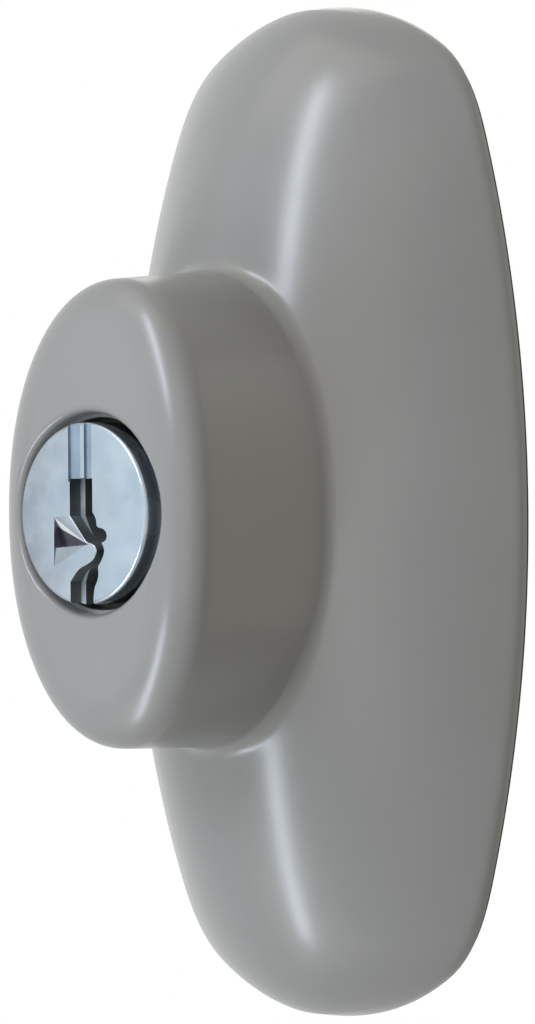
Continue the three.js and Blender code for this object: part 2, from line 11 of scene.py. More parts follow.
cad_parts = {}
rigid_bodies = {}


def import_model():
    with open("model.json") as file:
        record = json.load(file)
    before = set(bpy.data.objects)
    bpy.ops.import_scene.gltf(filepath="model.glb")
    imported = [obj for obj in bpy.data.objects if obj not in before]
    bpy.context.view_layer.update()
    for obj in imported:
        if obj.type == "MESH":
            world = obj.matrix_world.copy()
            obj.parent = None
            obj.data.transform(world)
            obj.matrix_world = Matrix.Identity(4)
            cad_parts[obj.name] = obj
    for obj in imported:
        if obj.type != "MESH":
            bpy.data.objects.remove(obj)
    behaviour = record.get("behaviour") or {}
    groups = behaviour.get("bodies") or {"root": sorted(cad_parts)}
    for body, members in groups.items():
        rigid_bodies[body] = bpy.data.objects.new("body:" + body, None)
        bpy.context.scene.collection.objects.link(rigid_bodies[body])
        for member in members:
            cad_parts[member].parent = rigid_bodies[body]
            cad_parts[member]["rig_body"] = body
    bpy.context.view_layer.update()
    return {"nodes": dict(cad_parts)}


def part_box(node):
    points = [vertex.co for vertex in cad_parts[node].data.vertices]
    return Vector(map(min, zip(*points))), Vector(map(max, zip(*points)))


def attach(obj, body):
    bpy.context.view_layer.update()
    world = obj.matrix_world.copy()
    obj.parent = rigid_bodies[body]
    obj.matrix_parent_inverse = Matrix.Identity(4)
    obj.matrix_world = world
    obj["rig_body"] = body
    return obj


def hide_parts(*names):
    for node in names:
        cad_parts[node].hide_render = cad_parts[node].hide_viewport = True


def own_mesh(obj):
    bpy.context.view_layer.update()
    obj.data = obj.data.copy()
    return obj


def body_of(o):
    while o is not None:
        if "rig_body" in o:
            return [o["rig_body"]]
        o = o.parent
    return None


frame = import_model()

MM = 0.001

# Escutcheon outline and dome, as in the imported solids
HALF_HEIGHT = 38.0
HALF_WIDTH = 19.3
SIDE_ARC = 102.0
END_ARC = 19.9
OUTLINE_CORNER = 2.0
RIM_REAR = -0.6
RIM_DEPTH = 1.4
DOME_DEPTH = 15.8
LENGTH_POWER = 1.8
SECTION_POWER = 2.1
WALL = 1.75
RIM_ROUND = 0.35
RIM_CHAMFER = 0.12

# Boss
BOSS_FRONT = -26.3
BOSS_HALF_WIDTH = 10.0
BOSS_HALF_HEIGHT = 16.85
BOSS_OVAL_POWER = 2.2
BOSS_CROWN = 1.0 / BOSS_HALF_HEIGHT**2
BOSS_EDGE_DEPTH = 2.6
BOSS_EDGE_WIDTH = 4.0
BOSS_SIDE_DRAFT = math.tan(math.radians(1))
BOSS_TOP_DRAFT = math.tan(math.radians(5.5))
BOSS_BOTTOM_DRAFT = math.tan(math.radians(2))
BOSS_ROOT = 1.5
CAVITY_DRAFT = math.tan(math.radians(2))
CAVITY_HALF_WIDTH = 8.0
CAVITY_HALF_HEIGHT = 15.1
CAVITY_ROOT = 0.5
CYLINDER_FRONT = -23.7
CYLINDER_REAR = -4.5
BORE = 6.85

# Recess in the boss round the plug
RECESS_RADIUS = 7.2
RECESS_ROUND = 0.55
RECESS_FLOOR = -24.7
RECESS_LAND = 0.4
RECESS_CORNER = 0.05

# Key plug
PLUG_FACE = -26.55
PLUG_HEAD = 6.5
PLUG_HEAD_ROUND = 0.3
PLUG_HEAD_BACK = -24.0
PLUG_BODY = 6.0
PLUG_GROOVE = 5.1
GROOVE_REAR = -3.3
PLUG_REAR = -2.0
MOUTH_DEPTH = 1.1
TAIL_SLOT_FRONT = -3.3

# Pins and their chambers
PINS = range(1, 6)
CHAMBER = 1.5
PIN_RADIUS = 1.25

# Plates behind the cylinder, posts and screws
CLAMP_REAR = -3.0
RETAINER_REAR = -1.0
CLAMP_SCREW_REACH = 18.5
TAIL_SCREW_REACH = 3.45
POST_REACH = 28.7
TAIL_SCREW = {"shank": 0.8, "length": 3.6, "head": 1.5, "height": 0.9}
CLAMP_SCREW = {"shank": 1.2, "length": 6.5, "head": 2.2, "height": 1.4}

# Points round the large oval shapes, the turned ones, the columns, and the pins and holes
AROUND = 192
SMALL_AROUND = 64
PLUG_AROUND = 160
BORE_AROUND = 128
COLUMN_AROUND = 48
PIN_AROUND = 40
HOLE_AROUND = 32

# Steps along the casting's section
LIP_STEPS = 10
FACE_STEPS = 12
EDGE_STEPS = 14
WALL_STEPS = 10
ROOT_STEPS = 10
DOME_STEPS = 44
RIM_STEPS = 6
ROOF_STEPS = 26
CAVITY_STEPS = 5
CAVITY_ROOT_STEPS = 4
BACK_STEPS = 4


# Rings and skins


def ring_edges(verts):
    """The edges that join a ring of vertices."""
    return [
        next(e for e in a.link_edges if e.other_vert(a) is b)
        for a, b in zip(verts, verts[1:] + verts[:1])
    ]


def skin(rings, closed=False, finishes=None):
    """A skin pushed out from ring to ring; closed joins the last ring to the first.

    Finishes, where they are given, number the material of each band between two rings.
    """
    count = len(rings[0])
    bm = bmesh.new()
    verts = bmesh.ops.create_circle(bm, segments=count, radius=1)["verts"]
    for vert, point in zip(verts, rings[0]):
        vert.co = point
    for band, ring in enumerate(rings[1:] + (rings[:1] if closed else [])):
        pushed = bmesh.ops.extrude_edge_only(bm, edges=ring_edges(verts))["geom"]
        if finishes:
            for face in (f for f in pushed if isinstance(f, bmesh.types.BMFace)):
                face.material_index = finishes[band]
        fresh = {v for v in pushed if isinstance(v, bmesh.types.BMVert)}
        verts = [
            next(e.other_vert(v) for e in v.link_edges if e.other_vert(v) in fresh)
            for v in verts
        ]
        for vert, point in zip(verts, ring):
            vert.co = point
    if closed:
        bmesh.ops.remove_doubles(bm, verts=bm.verts, dist=1e-5)
    else:
        bmesh.ops.holes_fill(bm, edges=bm.edges, sides=count)
    bmesh.ops.recalc_face_normals(bm, faces=bm.faces)
    return bm


def circle(radius, y, count):
    """A ring about the line along Y."""
    angles = [math.tau * k / count for k in range(count)]
    return [(radius * math.cos(angle), y, radius * math.sin(angle)) for angle in angles]


def turned(profile, count=SMALL_AROUND, axis="Y"):
    """A lathe piece: profile points are radius and place along the axis, both ends on the axis."""
    bm = bmesh.new()
    about = Vector((0, 1, 0)) if axis == "Y" else Vector((0, 0, 1))
    line = [bm.verts.new(Vector((radius, 0, 0)) + place * about) for radius, place in profile]
    edges = [bm.edges.new(pair) for pair in zip(line, line[1:])]
    bmesh.ops.spin(
        bm, geom=line + edges, cent=(0, 0, 0), axis=about, angle=math.tau, steps=count, use_merge=True
    )
    bmesh.ops.remove_doubles(bm, verts=bm.verts, dist=1e-5)
    bmesh.ops.recalc_face_normals(bm, faces=bm.faces)
    return bm


def move(bm, x=0.0, y=0.0, z=0.0):
    """Shifts everything in a bmesh."""
    bmesh.ops.translate(bm, verts=bm.verts, vec=(x, y, z))
    return bm


def pulled(points, way):
    """A flat face over the points, pulled along a vector."""
    bm = bmesh.new()
    face = bm.faces.new([bm.verts.new(point) for point in points])
    pushed = bmesh.ops.extrude_face_region(bm, geom=[face])["geom"]
    moved = [v for v in pushed if isinstance(v, bmesh.types.BMVert)]
    bmesh.ops.translate(bm, verts=moved, vec=way)
    bmesh.ops.recalc_face_normals(bm, faces=bm.faces)
    return bm


def rounded(bm, edges, reach, segments):
    """Rounds edges over."""
    bmesh.ops.bevel(
        bm,
        geom=edges,
        offset=reach,
        segments=segments,
        profile=0.5,
        affect="EDGES",
        material=-1,
        clamp_overlap=True,
    )
    return bm


def stamping(outline, y_from, y_to, edge=0.15):
    """A flat plate: an outline in X and Z pulled along Y, with its rims rounded over."""
    bm = pulled([(x, y_from, z) for x, z in outline], (0, y_to - y_from, 0))
    rims = [e for e in bm.edges if abs(e.verts[0].co.y - e.verts[1].co.y) < 1e-6]
    return rounded(bm, rims, edge, segments=3)


def block(low, high, edge=0.0):
    """A block between two corners, its edges rounded over."""
    bm = bmesh.new()
    bmesh.ops.create_cube(bm, size=1)
    low, high = Vector(low), Vector(high)
    bmesh.ops.scale(bm, vec=high - low, verts=bm.verts)
    bmesh.ops.translate(bm, vec=(low + high) / 2, verts=bm.verts)
    return rounded(bm, bm.edges[:], edge, segments=2) if edge else bm


def drill(radius, y_from, y_to, chamfer, centre=(0.0, 0.0), count=COLUMN_AROUND, past=0.5):
    """A drill for a hole between two levels, with a small countersink on both sides."""
    flare = radius + chamfer + past
    profile = [(0, y_from - past), (flare, y_from - past), (radius, y_from + chamfer)]
    profile += [(radius, y_to - chamfer), (flare, y_to + past), (0, y_to + past)]
    return move(turned(profile, count=count), x=centre[0], z=centre[1])


def marked(bm, finish, holds=lambda middle: True):
    """Gives a material's number to the faces whose middle passes a test."""
    for face in bm.faces:
        if holds(face.calc_center_median()):
            face.material_index = finish
    return bm


def arc(centre, radius, start, end, steps):
    """Points in X and Z along an arc, with angles in degrees."""
    points = []
    for k in range(steps + 1):
        angle = math.radians(start + (end - start) * k / steps)
        points.append((centre[0] + radius * math.cos(angle), centre[1] + radius * math.sin(angle)))
    return points


# Turning shapes into pieces


def added(name, data):
    """A new object in the scene for a mesh, a lamp or a camera."""
    thing = bpy.data.objects.new(name, data)
    bpy.context.scene.collection.objects.link(thing)
    return thing


def shaped(name, bm, materials):
    """An object for a bmesh in millimetres, still at that size."""
    mesh = bpy.data.meshes.new(name)
    bm.to_mesh(mesh)
    bm.free()
    for material in materials:
        mesh.materials.append(material)
    return added(name, mesh)


def worked(piece, tools, operation="DIFFERENCE"):
    """Cuts a piece with its tools, or joins them to it, and keeps the result as its mesh."""
    for number, bm in enumerate(tools):
        tool = shaped(f"{piece.name}_tool_{number}", bm, list(piece.data.materials))
        step = piece.modifiers.new("work", "BOOLEAN")
        step.operation = operation
        step.solver = "EXACT"
        step.material_mode = "TRANSFER"
        step.object = tool
        depsgraph = bpy.context.evaluated_depsgraph_get()
        result = bpy.data.meshes.new_from_object(piece.evaluated_get(depsgraph))
        piece.modifiers.remove(step)
        before = piece.data
        piece.data = result
        bpy.data.meshes.remove(before)
        tool_mesh = tool.data
        bpy.data.objects.remove(tool)
        bpy.data.meshes.remove(tool_mesh)


def placed(piece, node, crease=30.0):
    """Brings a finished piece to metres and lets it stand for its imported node."""
    mesh = piece.data
    mesh.name = piece.name
    mesh.transform(Matrix.Scale(MM, 4))
    mesh.shade_smooth()
    mesh.set_sharp_from_angle(angle=math.radians(crease))
    mesh.update()
    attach(piece, body_of(frame["nodes"][node])[0])
    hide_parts(node)


# Materials: colours are written as they are seen, from 0 to 255


def seen(red, green, blue):
    """A colour from 0 to 255 as the shader's linear values."""
    values = []
    for part in (red, green, blue):
        share = part / 255
        values.append(share / 12.92 if share <= 0.04045 else ((share + 0.055) / 1.055) ** 2.4)
    return (*values, 1.0)


def feed(tree, value, socket):
    """Wires another socket into a socket, or sets it to a plain value."""
    if isinstance(value, bpy.types.NodeSocket):
        tree.links.new(value, socket)
    else:
        socket.default_value = value


def node_of(tree, kind, inputs=None, **settings):
    """A new node with its settings, and its inputs as other sockets or plain values."""
    node = tree.nodes.new(f"ShaderNode{kind}")
    for label, value in settings.items():
        setattr(node, label, value)
    for label, value in (inputs or {}).items():
        feed(tree, value, node.inputs[label])
    return node


def maths(tree, operation, first, second):
    """A Math node over two sockets or numbers."""
    return node_of(tree, "Math", {0: first, 1: second}, operation=operation).outputs[0]


def noise(tree, vector, scale, detail, roughness=0.5):
    """A noise over a vector, its scale in waves per metre."""
    values = {"Vector": vector, "Scale": scale, "Detail": detail, "Roughness": roughness}
    return node_of(tree, "TexNoise", values).outputs["Fac"]


def effect(name, inputs):
    """A node group with named inputs and their defaults, a height and a mottle to put out."""
    group = bpy.data.node_groups.new(name, "ShaderNodeTree")
    for label, default in inputs.items():
        kind = "NodeSocketVector" if isinstance(default, tuple) else "NodeSocketFloat"
        socket = group.interface.new_socket(label, in_out="INPUT", socket_type=kind)
        socket.default_value = default
    for label in ("Height", "Mottle"):
        group.interface.new_socket(label, in_out="OUTPUT", socket_type="NodeSocketFloat")
    entry = group.nodes.new("NodeGroupInput").outputs
    leave = group.nodes.new("NodeGroupOutput").inputs
    place = node_of(group, "TexCoord").outputs["Object"]
    return group, entry, leave, place


def sprayed_peel():
    """Sprayed and baked paint: a fine peel over a long soft wave, and faint clouding."""
    group, entry, leave, place = effect(
        "sprayed_peel", {"Peel per metre": 1300.0, "Wave per metre": 170.0, "Wave share": 0.5}
    )
    peel = noise(group, place, entry["Peel per metre"], detail=2.0, roughness=0.45)
    wave = noise(group, place, entry["Wave per metre"], detail=1.0)
    slow = maths(group, "MULTIPLY", wave, entry["Wave share"])
    feed(group, maths(group, "ADD", peel, slow), leave["Height"])
    feed(group, noise(group, place, 90.0, detail=4.0), leave["Mottle"])
    return group


def straight_brushing():
    """Fine scratches that run up and down, as a belt leaves them."""
    group, entry, leave, place = effect(
        "straight_brushing", {"Lines per metre": 9000.0, "Length": 0.03}
    )
    stretch = node_of(group, "CombineXYZ", {"X": 1.0, "Y": 1.0, "Z": entry["Length"]})
    both = {0: place, 1: stretch.outputs["Vector"]}
    drawn = node_of(group, "VectorMath", both, operation="MULTIPLY").outputs["Vector"]
    feed(group, noise(group, drawn, entry["Lines per metre"], detail=3.0), leave["Height"])
    feed(group, noise(group, place, 420.0, detail=5.0), leave["Mottle"])
    return group


def turning_marks():
    """Marks of a lathe tool: rings about a line along Y through the given centre."""
    group, entry, leave, place = effect(
        "turning_marks", {"Centre": (0.0, 0.0, 0.0), "Rings per metre": 5000.0}
    )
    off = node_of(group, "VectorMath", {0: place, 1: entry["Centre"]}, operation="SUBTRACT")
    parts = node_of(group, "SeparateXYZ", {"Vector": off.outputs["Vector"]}).outputs
    flat = node_of(group, "CombineXYZ", {"X": parts["X"], "Z": parts["Z"]}).outputs["Vector"]
    reach = node_of(group, "VectorMath", {0: flat}, operation="LENGTH").outputs["Value"]
    coil = node_of(group, "CombineXYZ", {"X": reach, "Y": parts["Y"]}).outputs["Vector"]
    feed(group, noise(group, coil, entry["Rings per metre"], detail=2.0), leave["Height"])
    feed(group, noise(group, place, 300.0, detail=5.0), leave["Mottle"])
    return group


PEEL = sprayed_peel()
BRUSHING = straight_brushing()
TURNING = turning_marks()


# The noise values between which a mottle goes from its low end to its high end
MOTTLE_ENDS = (0.3, 0.7)


def finish_of(name, metallic=0.0, specular=0.5):
    """A material with its shader; what varies over the surface is fed in afterwards."""
    material = bpy.data.materials.new(name)
    material.use_nodes = True
    tree = material.node_tree
    shader = next(n for n in tree.nodes if n.type == "BSDF_PRINCIPLED")
    shader.inputs["Metallic"].default_value = metallic
    shader.inputs["Specular IOR Level"].default_value = specular
    return material, tree, shader


def between(tree, mottle, low, high, target):
    """Spreads a mottle over a range of values for a socket."""
    values = {"Value": mottle, "To Min": low, "To Max": high}
    values["From Min"], values["From Max"] = MOTTLE_ENDS
    feed(tree, node_of(tree, "MapRange", values).outputs["Result"], target)


def tinted(tree, mottle, first, second, target):
    """Two close colours over a mottle, for a socket."""
    ramp = node_of(tree, "ValToRGB", {"Fac": mottle})
    for stop, place, colour in zip(ramp.color_ramp.elements, MOTTLE_ENDS, (first, second)):
        stop.position = place
        stop.color = seen(*colour)
    feed(tree, ramp.outputs["Color"], target)


def embossed(tree, height, strength, depth, target):
    """A bump from a height, depth in metres."""
    bump = node_of(tree, "Bump", {"Strength": strength, "Distance": depth, "Height": height})
    feed(tree, bump.outputs["Normal"], target)


def patterned(name, group, inputs, colours, roughness, bump, metallic=0.0, specular=0.5):
    """A material whose colour and roughness vary with an effect's mottle, and its bump.

    Inputs are the effect's own, and bump is a strength and a depth in metres.
    """
    material, tree, shader = finish_of(name, metallic, specular)
    pattern = node_of(tree, "Group", inputs, node_tree=group)
    mottle = pattern.outputs["Mottle"]
    tinted(tree, mottle, *colours, shader.inputs["Base Color"])
    between(tree, mottle, *roughness, shader.inputs["Roughness"])
    embossed(tree, pattern.outputs["Height"], *bump, shader.inputs["Normal"])
    return material


def brushed_nickel(name, colours, roughness, strength=0.25):
    """Nickel plate with belt scratches and a faint tarnish."""
    return patterned(name, BRUSHING, {}, colours, roughness, (strength, 0.000004), metallic=1.0)


def broached(name, colours, roughness, metallic):
    """Broached metal in the keyway, too rough to mirror much."""
    grooves = {"Lines per metre": 6000.0, "Length": 0.2}
    return patterned(name, BRUSHING, grooves, colours, roughness, (0.3, 0.00001), metallic)


def turned_metal(name, colours, roughness, centre=(0.0, 0.0, 0.0), rings=5000.0):
    """A turned or drawn metal, with its tool marks about its own centre."""
    marks = {"Centre": centre, "Rings per metre": rings}
    return patterned(name, TURNING, marks, colours, roughness, (0.25, 0.000006), metallic=1.0)


STONE = patterned(
    "stone_paint_satin", PEEL, {}, ((146, 145, 142), (150, 149, 146)), (0.23, 0.27), (0.3, 0.000006)
)
CASTING = patterned(
    "bare_die_casting",
    PEEL,
    {"Peel per metre": 2600.0, "Wave per metre": 420.0, "Wave share": 1.0},
    ((112, 113, 112), (140, 140, 137)),
    (0.48, 0.62),
    (0.5, 0.00003),
    metallic=0.85,
)
# Near-black brass for the cylinder shell's front face at the bottom of the gap round the plug: painted
# shade for the dark gap.
GAP_SHADE_BRASS = patterned(
    "gap_painted_shade_brass",
    PEEL,
    {"Peel per metre": 2200.0, "Wave per metre": 600.0},
    ((34, 31, 26), (62, 54, 40)),
    (0.5, 0.7),
    (0.4, 0.00001),
    metallic=0.4,
)
RUBBER = patterned(
    "moulded_seal_rubber",
    PEEL,
    {"Peel per metre": 3200.0, "Wave share": 0.3},
    ((30, 31, 32), (46, 47, 47)),
    (0.66, 0.84),
    (0.4, 0.00001),
    specular=0.3,
)
NICKEL = brushed_nickel("plug_nickel_satin", ((147, 158, 167), (166, 175, 182)), (0.2, 0.32))
MILLED_NICKEL = brushed_nickel(
    "plug_nickel_milled", ((122, 138, 152), (146, 160, 172)), (0.34, 0.46), strength=0.4
)
# A much brighter copy of the plug's nickel for the notch's narrow bands: painted highlight.
HIGHLIT_EDGE_NICKEL = brushed_nickel("plug_nickel_edges_painted_highlight", ((206, 214, 222), (224, 230, 236)), (0.16, 0.26))
# A darker copy of the plug's nickel for the notch's facet that faces down: painted shade.
FACET_SHADE_NICKEL = brushed_nickel("plug_nickel_facet_painted_shade", ((66, 68, 78), (92, 94, 102)), (0.24, 0.36))
# The keyway's walls are broached metal made darker than the step and the plug's nickel: painted shade
# inside the narrow keyway.
SHADED_KEYWAY = broached("broached_keyway_wall_painted_shade", ((80, 90, 94), (108, 118, 122)), (0.42, 0.6), 0.35)
STEP = broached("broached_keyway_step", ((140, 148, 153), (162, 170, 174)), (0.46, 0.62), 0.25)
SHELL_BRASS = turned_metal("cylinder_shell_brass", ((176, 150, 92), (199, 172, 112)), (0.26, 0.42))
PIN_BRASS = turned_metal("pin_brass", ((190, 164, 100), (208, 184, 124)), (0.2, 0.34), rings=9000.0)
ZINC = turned_metal("zinc_plated_steel", ((168, 172, 174), (196, 198, 196)), (0.28, 0.46), rings=3200.0)
CLIP_STEEL = turned_metal("spring_clip_steel", ((138, 142, 146), (166, 169, 172)), (0.26, 0.4))
SPRING_STEEL = turned_metal("spring_wire_steel", ((170, 173, 176), (192, 194, 196)), (0.2, 0.32))


# Escutcheon: outline, dome and boss surfaces


def outline_half_width(z, inset=0.0):
    """Half the width at a height: the side arc or the end arc, blended where they meet."""
    side_radius = SIDE_ARC - inset
    side = HALF_WIDTH - inset - (side_radius - math.sqrt(side_radius**2 - z**2))
    end_radius = END_ARC - inset
    past = abs(z) - (HALF_HEIGHT - END_ARC)
    end = end_radius - past if past < 0 else math.sqrt(max(end_radius**2 - past**2, 0.0))
    share = min(max((1 + (end - side) / OUTLINE_CORNER) / 2, 0.0), 1.0)
    return end + (side - end) * share - OUTLINE_CORNER * share * (1 - share)


def dome_y(x, z, inset=0.0):
    """Y of the dome over a point; the hollow's roof is the dome drawn in by the wall."""
    crest = math.sqrt(max(1 - (abs(z) / (HALF_HEIGHT - inset)) ** LENGTH_POWER, 0.0))
    half = outline_half_width(z, inset) if crest else 0.0
    share = min(abs(x) / half, 1.0) if half > 1e-6 else 0.0
    return -(RIM_DEPTH + (DOME_DEPTH - RIM_DEPTH - inset) * crest * (1 - share**SECTION_POWER))


def outline_point(turn, inset=0.0):
    """X and Z of the outline, drawn in by the inset, at a share of the way round."""
    angle = math.tau * turn
    z = (HALF_HEIGHT - inset) * math.sin(angle)
    side = math.cos(angle)
    if abs(side) < 1e-9:
        return 0.0, z
    return math.copysign(outline_half_width(z, inset), side), z


def squared(share):
    """A cosine or sine that draws a slightly squarish oval in place of an ellipse."""
    return math.copysign(abs(share) ** (2 / BOSS_OVAL_POWER), share)


def oval_point(turn, wider, taller, level):
    """A point of the boss's oval, grown in both directions, its level following the crown."""
    x = (BOSS_HALF_WIDTH + wider) * squared(math.cos(math.tau * turn))
    z = (BOSS_HALF_HEIGHT + taller) * squared(math.sin(math.tau * turn))
    return Vector((x, level + BOSS_CROWN * z**2, z))


def wall_point(turn, level):
    """A point of the drafted wall at a level behind the rounded edge."""
    behind = level - BOSS_FRONT - BOSS_EDGE_DEPTH
    end_draft = BOSS_TOP_DRAFT if turn < 0.5 else BOSS_BOTTOM_DRAFT
    return oval_point(turn, BOSS_SIDE_DRAFT * behind, end_draft * behind, level)


def edge_drop(drawn_in):
    """How far the rounded edge falls back at a distance in from the wall."""
    share = max(1 - drawn_in / BOSS_EDGE_WIDTH, 0.0)
    return BOSS_EDGE_DEPTH * (1 - math.sqrt(1 - share**2))


def last_that(holds, high):
    """The largest value from 0 to high for which a test still holds, found by halving."""
    low = 0.0
    for _ in range(40):
        middle = (low + high) / 2
        if holds(middle):
            low = middle
        else:
            high = middle
    return low


def boss_face_y(x, z):
    """Y of the boss's front over a point, with the crown and the rounded edge."""

    def within(drawn_in):
        across_share = abs(x) / (BOSS_HALF_WIDTH - drawn_in)
        up_share = abs(z) / (BOSS_HALF_HEIGHT - drawn_in)
        return across_share**BOSS_OVAL_POWER + up_share**BOSS_OVAL_POWER <= 1

    return BOSS_FRONT + edge_drop(last_that(within, BOSS_EDGE_WIDTH)) + BOSS_CROWN * z**2


def face_reach(turn, clear_of):
    """How far in from the wall the edge's innermost oval may lie and still clear a radius.

    It stays short of the whole width, because the edge is level with the face there.
    """

    def clears(drawn_in):
        point = oval_point(turn, -drawn_in, -drawn_in, 0)
        return math.hypot(point.x, point.z) >= clear_of

    return last_that(clears, 0.86 * BOSS_EDGE_WIDTH)


def meeting(point_at, surface_y, start):
    """The level at which a wall meets a surface, nearer at every step."""
    level = start
    for _ in range(30):
        point = point_at(level)
        level += surface_y(point.x, point.z) - point.y
    return level


def corner_arc(before, corner, after, steps):
    """Points of a rounded corner that touches both of its legs."""
    opening = (corner - before).angle(after - corner)
    weight = math.cos(opening / 2)
    points = []
    for k in range(steps + 1):
        s = k / steps
        parts = ((1 - s) ** 2, 2 * s * (1 - s) * weight, s**2)
        total = sum(parts)
        points.append((before * parts[0] + corner * parts[1] + after * parts[2]) / total)
    return points


def root_points(wall_at, surface_y, outer, start, radius, steps):
    """The rounded root between a wall and the surface it stands on, at one place round it.

    The surface runs on towards outer, a point in X and Z. The search for the root begins at start.
    """
    level = meeting(wall_at, surface_y, start)
    corner = wall_at(level)
    away = Vector((outer[0] - corner.x, 0, outer[1] - corner.z)).normalized()
    near = 0.05
    ahead = corner + away * near
    ahead.y = surface_y(ahead.x, ahead.z)
    down = (corner - wall_at(level - near)).normalized()
    along = (ahead - corner).normalized()
    leg = radius * math.tan(down.angle(along) / 2)
    before = wall_at(level - leg)
    after = corner + away * (leg * Vector((along.x, 0, along.z)).length)
    after.y = surface_y(after.x, after.z)
    return corner_arc(before, corner, after, steps)


def across(columns):
    """Turns columns of points, one for each place round, into rings."""
    return [[column[k] for column in columns] for k in range(len(columns[0]))]


def evenly(steps):
    """Equal shares of a way, without its two ends."""
    return [step / steps for step in range(1, steps)]


def closing(steps):
    """Shares of a way on which the points draw together towards its end."""
    return [math.sin(math.pi / 2 * step / steps) for step in range(1, steps + 1)]


def draped(first, second, shares, surface_y):
    """Points on a surface over the straight way between two points in X and Z."""
    points = []
    for share in shares:
        x = first[0] + (second[0] - first[0]) * share
        z = first[1] + (second[1] - first[1]) * share
        points.append(Vector((x, surface_y(x, z), z)))
    return points


def escutcheon_column(k):
    """All points of the casting's skin at one place round: bore, recess, face, wall, dome, inside.

    The second value counts the bands up to the rear face's middle, where the paint ends.
    """
    turn = k / AROUND
    cosine, sine = math.cos(math.tau * turn), math.sin(math.tau * turn)
    points = []

    def at_radius(radius, y):
        points.append(Vector((radius * cosine, y, radius * sine)))

    # Bore, then the sunk land round the plug, its wall and the wall's rounded lip
    at_radius(BORE, CYLINDER_FRONT)
    at_radius(BORE, RECESS_FLOOR + RECESS_LAND)
    at_radius(BORE, RECESS_FLOOR + RECESS_CORNER)
    at_radius(BORE + RECESS_CORNER, RECESS_FLOOR)
    at_radius(RECESS_RADIUS - RECESS_CORNER, RECESS_FLOOR)
    at_radius(RECESS_RADIUS, RECESS_FLOOR - RECESS_CORNER)
    lip = RECESS_RADIUS + RECESS_ROUND
    lip_y = boss_face_y(lip * cosine, lip * sine)
    for step in range(LIP_STEPS + 1):
        angle = math.pi / 2 * step / LIP_STEPS
        radius = RECESS_RADIUS + RECESS_ROUND * (1 - math.cos(angle))
        at_radius(radius, lip_y + RECESS_ROUND * (1 - math.sin(angle)))

    # Crowned face, then the rounded edge
    near_edge = face_reach(turn, lip + 0.15)
    inner = (lip * cosine, lip * sine)
    edge = oval_point(turn, -near_edge, -near_edge, 0)
    points.extend(draped(inner, edge.xz, evenly(FACE_STEPS), boss_face_y))
    first = math.acos(1 - near_edge / BOSS_EDGE_WIDTH)
    for step in range(EDGE_STEPS + 1):
        angle = first * (1 - step / EDGE_STEPS)
        drawn_in = BOSS_EDGE_WIDTH * (1 - math.cos(angle))
        level = BOSS_FRONT + BOSS_EDGE_DEPTH * (1 - math.sin(angle))
        points.append(oval_point(turn, -drawn_in, -drawn_in, level))

    # Drafted wall and the rounded root on the dome
    outer = outline_point(turn, RIM_ROUND)
    root = root_points(
        lambda y: wall_point(turn, y), dome_y, outer, start=-12, radius=BOSS_ROOT, steps=ROOT_STEPS
    )
    start = BOSS_FRONT + BOSS_EDGE_DEPTH
    foot = root[0].y - BOSS_CROWN * root[0].z ** 2
    points.extend(wall_point(turn, start + (foot - start) * share) for share in evenly(WALL_STEPS))
    points.extend(root)

    # Dome, closer together towards the rim
    points.extend(draped(root[-1].xz, outer, closing(DOME_STEPS), dome_y))

    # Rounded rim, straight rim and the rear face on the gasket
    x, z = outline_point(turn)
    corner = Vector((x, -RIM_DEPTH, z))
    below = Vector((x, -RIM_DEPTH + RIM_ROUND, z))
    points.extend(corner_arc(points[-1], corner, below, RIM_STEPS)[1:])
    painted = len(points) + 2
    for inset, y in (
        (0.0, RIM_REAR - RIM_CHAMFER),
        (RIM_CHAMFER, RIM_REAR),
        (WALL / 2, RIM_REAR),
        (WALL - RIM_CHAMFER, RIM_REAR),
        (WALL, RIM_REAR - RIM_CHAMFER),
        (WALL, -RIM_DEPTH),
    ):
        x, z = outline_point(turn, inset)
        points.append(Vector((x, y, z)))

    # Hollow, the boss's cavity and the back of the front wall
    def roof_y(x, z):
        return dome_y(x, z, WALL)

    def cavity_at(y):
        grown = CAVITY_DRAFT * (y - CYLINDER_FRONT)
        x, z = (CAVITY_HALF_WIDTH + grown) * cosine, (CAVITY_HALF_HEIGHT + grown) * sine
        return Vector((x, y, z))

    rim = outline_point(turn, WALL)
    mouth = root_points(
        cavity_at, roof_y, rim, start=-10, radius=CAVITY_ROOT, steps=CAVITY_ROOT_STEPS
    )
    points.extend(reversed(draped(mouth[-1].xz, rim, closing(ROOF_STEPS)[:-1], roof_y)))
    points.extend(reversed(mouth))
    for step in range(1, CAVITY_STEPS + 1):
        points.append(cavity_at(mouth[0].y + (CYLINDER_FRONT - mouth[0].y) * step / CAVITY_STEPS))
    wide = (CAVITY_HALF_WIDTH * cosine, CAVITY_HALF_HEIGHT * sine)
    narrow = (BORE * cosine, BORE * sine)
    points.extend(draped(wide, narrow, evenly(BACK_STEPS), lambda x, z: CYLINDER_FRONT))
    return points, painted


def casting_column(radius, height, rear, hole, hole_depth, pitch):
    """A column inside the casting, with a tapped hole; its front ends inside the dome's wall."""
    chamfer, lead, thread_depth = 0.25, 0.35, 0.22
    levels = [(radius, rear - chamfer), (radius - chamfer, rear), (hole + lead, rear)]
    for turn in range(int((hole_depth - 0.6) / pitch)):
        y = rear - lead - turn * pitch
        levels += [(hole, y), (hole + thread_depth, y - pitch / 2)]
    levels += [(hole, rear - hole_depth + 0.3), (0.02, rear - hole_depth)]
    around = circle(radius, 0, COLUMN_AROUND)
    rings = [[(x, dome_y(x, z + height, WALL / 2), z) for x, _, z in around]]
    rings += [circle(reach, y, COLUMN_AROUND) for reach, y in levels]
    return move(skin(rings, finishes=[1] * len(rings)), z=height)


